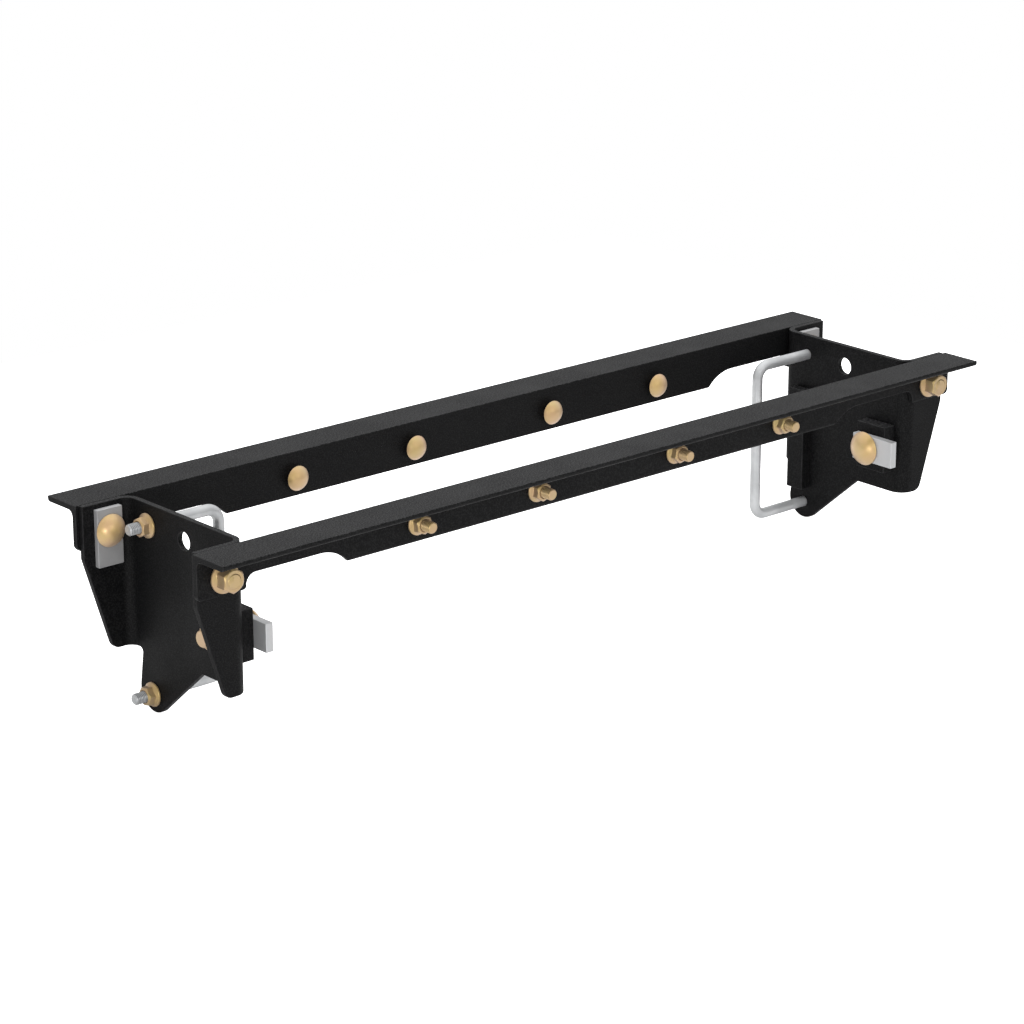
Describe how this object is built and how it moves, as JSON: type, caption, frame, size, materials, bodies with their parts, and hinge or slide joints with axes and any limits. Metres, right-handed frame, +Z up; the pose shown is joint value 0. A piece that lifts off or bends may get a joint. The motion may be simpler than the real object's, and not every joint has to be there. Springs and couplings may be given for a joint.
{
  "type": "fifth wheel hitch",
  "caption": "Steel cross rails for a fifth wheel hitch, bolted to bent side brackets that clamp to a truck's frame with square U-bolts, pads and clamp blocks.",
  "frame": {"origin": "middle of the hitch bay, level with the top faces of the cross rails", "axes": "+X along the cross rails to the right-hand side, -Y to the front of the set, +Z up"},
  "size_m": [1.1176, 0.3048, 0.2324],
  "materials": {
    "powder_coat": "fine-texture satin black powder coat",
    "yellow_zinc": "yellow chromate zinc plate, semi-gloss",
    "clear_zinc": "clear zinc plate, satin"
  },
  "bodies": {
    "bracket_set": {"cross_rail_rear": "powder_coat", "hitch_bolt_rear_1": "yellow_zinc", "hitch_bolt_nut_rear_1": "yellow_zinc", "hitch_bolt_rear_2": "yellow_zinc", "hitch_bolt_nut_rear_2": "yellow_zinc", "hitch_bolt_rear_3": "yellow_zinc", "hitch_bolt_nut_rear_3": "yellow_zinc", "hitch_bolt_rear_4": "yellow_zinc", "hitch_bolt_nut_rear_4": "yellow_zinc", "plate_washer_rear_left": "clear_zinc", "rail_end_bolt_rear_left": "yellow_zinc", "rail_end_nut_rear_left": "yellow_zinc", "plate_washer_rear_right": "clear_zinc", "rail_end_bolt_rear_right": "yellow_zinc", "rail_end_nut_rear_right": "yellow_zinc", "cross_rail_front": "powder_coat", "hitch_bolt_front_1": "yellow_zinc", "hitch_bolt_nut_front_1": "yellow_zinc", "hitch_bolt_front_2": "yellow_zinc", "hitch_bolt_nut_front_2": "yellow_zinc", "hitch_bolt_front_3": "yellow_zinc", "hitch_bolt_nut_front_3": "yellow_zinc", "hitch_bolt_front_4": "yellow_zinc", "hitch_bolt_nut_front_4": "yellow_zinc", "plate_washer_front_left": "clear_zinc", "rail_end_bolt_front_left": "yellow_zinc", "rail_end_nut_front_left": "yellow_zinc", "plate_washer_front_right": "clear_zinc", "rail_end_bolt_front_right": "yellow_zinc", "rail_end_nut_front_right": "yellow_zinc", "side_bracket_left": "powder_coat", "frame_pad_left": "powder_coat", "clamp_spacer_left": "powder_coat", "clamp_block_left": "clear_zinc", "frame_bolt_left": "yellow_zinc", "frame_bolt_nut_left": "yellow_zinc", "side_bracket_right": "powder_coat", "frame_pad_right": "powder_coat", "clamp_spacer_right": "powder_coat", "clamp_block_right": "clear_zinc", "frame_bolt_right": "yellow_zinc", "frame_bolt_nut_right": "yellow_zinc"},
    "u_bolt_left": {"u_bolt_left": "clear_zinc"},
    "u_bolt_nut_left_upper": {"u_bolt_nut_left_upper": "yellow_zinc"},
    "u_bolt_nut_left_lower": {"u_bolt_nut_left_lower": "yellow_zinc"},
    "u_bolt_right": {"u_bolt_right": "clear_zinc"},
    "u_bolt_nut_right_upper": {"u_bolt_nut_right_upper": "yellow_zinc"},
    "u_bolt_nut_right_lower": {"u_bolt_nut_right_lower": "yellow_zinc"}
  },
  "joints": [
    {"name": "u_bolt_slide_left", "type": "slide", "parent": "bracket_set", "child": "u_bolt_left", "axis": [1, 0, 0], "range_m": [0, 0.01]},
    {"name": "nut_turn_left_upper", "type": "hinge", "parent": "bracket_set", "child": "u_bolt_nut_left_upper", "pos_m": [-0.5034, 0.0608, -0.0241], "axis": [1, 0, 0], "range_deg": [-1850, 0]},
    {"name": "nut_turn_left_lower", "type": "hinge", "parent": "bracket_set", "child": "u_bolt_nut_left_lower", "pos_m": [-0.5034, 0.0608, -0.2125], "axis": [1, 0, 0], "range_deg": [-1850, 0]},
    {"name": "u_bolt_slide_right", "type": "slide", "parent": "bracket_set", "child": "u_bolt_right", "axis": [-1, 0, 0], "range_m": [0, 0.01]},
    {"name": "nut_turn_right_upper", "type": "hinge", "parent": "bracket_set", "child": "u_bolt_nut_right_upper", "pos_m": [0.5034, 0.0608, -0.0241], "axis": [-1, 0, 0], "range_deg": [-1850, 0]},
    {"name": "nut_turn_right_lower", "type": "hinge", "parent": "bracket_set", "child": "u_bolt_nut_right_lower", "pos_m": [0.5034, 0.0608, -0.2125], "axis": [-1, 0, 0], "range_deg": [-1850, 0]}
  ],
  "couplings": [
    {"joint": "nut_turn_left_upper", "follows": "u_bolt_slide_left", "rad_per_m": -3215.9},
    {"joint": "nut_turn_left_lower", "follows": "u_bolt_slide_left", "rad_per_m": -3215.9},
    {"joint": "nut_turn_right_upper", "follows": "u_bolt_slide_right", "rad_per_m": -3215.9},
    {"joint": "nut_turn_right_lower", "follows": "u_bolt_slide_right", "rad_per_m": -3215.9}
  ]
}
